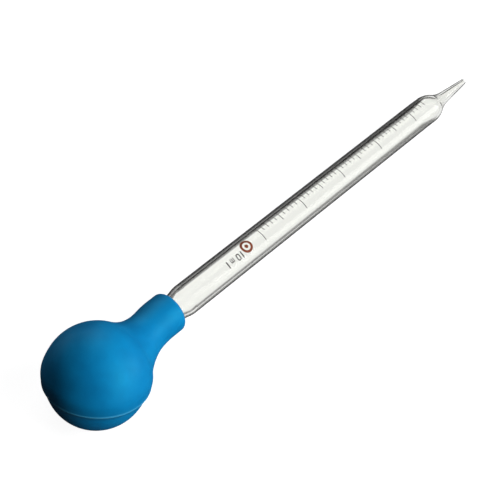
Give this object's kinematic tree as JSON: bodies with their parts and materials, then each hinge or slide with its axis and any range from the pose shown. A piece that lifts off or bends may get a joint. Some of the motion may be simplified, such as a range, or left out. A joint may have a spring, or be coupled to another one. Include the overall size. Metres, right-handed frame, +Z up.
{
  "type": "glass dropper",
  "caption": "Graduated glass dropper: a straight barrel with a drawn-out tip and a printed scale, and a round squeezable rubber bulb pushed over its narrowed mouth.",
  "frame": {"origin": "on the table, under the middle of the dropper as it lies", "axes": "+X from the bulb towards the tip, +Z up, -Y the front; the long axis leans 3.8 degrees down towards the tip"},
  "size_m": [0.249, 0.0392, 0.0392],
  "materials": {
    "clear_glass": "clear, polished borosilicate",
    "grey_enamel": "fine fired enamel lines",
    "brown_enamel": "fired enamel",
    "blue_rubber": "smooth moulded rubber, satin"
  },
  "bodies": {
    "glass": {"glass_barrel": "clear_glass", "scale_lines": "grey_enamel", "capacity_mark": "grey_enamel", "round_badge": "brown_enamel"},
    "bulb": {"bulb_body": "blue_rubber"},
    "thumb_wall": {"bulb_thumb_wall": "blue_rubber"},
    "finger_wall": {"bulb_finger_wall": "blue_rubber"}
  },
  "joints": [
    {"name": "bulb_pull", "type": "slide", "parent": "glass", "child": "bulb", "axis": [-0.9978, 0, 0.0661], "range_m": [0, 0.03]},
    {"name": "thumb_squeeze", "type": "slide", "parent": "bulb", "child": "thumb_wall", "axis": [0, 1, 0], "range_m": [0, 0.0075], "stiffness_N_per_m": 400},
    {"name": "finger_squeeze", "type": "slide", "parent": "bulb", "child": "finger_wall", "axis": [0, -1, 0], "range_m": [0, 0.0075], "stiffness_N_per_m": 400}
  ],
  "couplings": [
    {"joint": "finger_squeeze", "follows": "thumb_squeeze", "ratio": 1}
  ]
}
